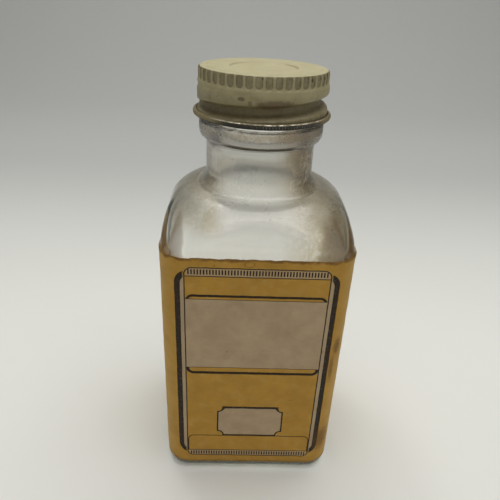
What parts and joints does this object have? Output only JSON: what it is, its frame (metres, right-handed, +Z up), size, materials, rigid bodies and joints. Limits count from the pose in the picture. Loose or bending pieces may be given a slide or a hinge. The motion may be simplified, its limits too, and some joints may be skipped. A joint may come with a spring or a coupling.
{
  "type": "prescription bottle with screw cap",
  "caption": "Square glass prescription bottle with round shoulders, a pressed tinplate screw cap with a knurled rim, a cap liner and a paper label.",
  "frame": {"origin": "centre of the bounding box's bottom face, on the surface that the bottle stands on, under the neck's axis", "axes": "+Z up along the neck's axis; the front of the label faces -Y, and +X is to the right of someone who reads it"},
  "size_m": [0.0452, 0.0451, 0.1045],
  "materials": {
    "clear_glass": "clear flint glass, slightly wavy, with brown residue inside and out",
    "label_paper": "matt ochre paper, aged and stained",
    "cap_enamel": "cream enamel on tinplate, bare and rusty at the curl",
    "pulpboard": "matt grey-brown board",
    "waxed_facing": "waxed, satin"
  },
  "bodies": {
    "bottle": {"glass_bottle": "clear_glass", "label": "label_paper"},
    "liner": {"liner_pad": "pulpboard", "liner_facing": "waxed_facing"},
    "cap": {"cap_shell": "cap_enamel"}
  },
  "joints": [
    {"name": "cap_lift", "type": "slide", "parent": "bottle", "child": "liner", "axis": [0, 0, 1], "range_m": [0, 0.0149]},
    {"name": "cap_turn", "type": "hinge", "parent": "liner", "child": "cap", "pos_m": [0, 0, 0.1], "axis": [0, 0, 1], "range_deg": [0, 1260]}
  ],
  "couplings": [
    {"joint": "cap_lift", "follows": "cap_turn", "m_per_rad": 0.00067375}
  ]
}
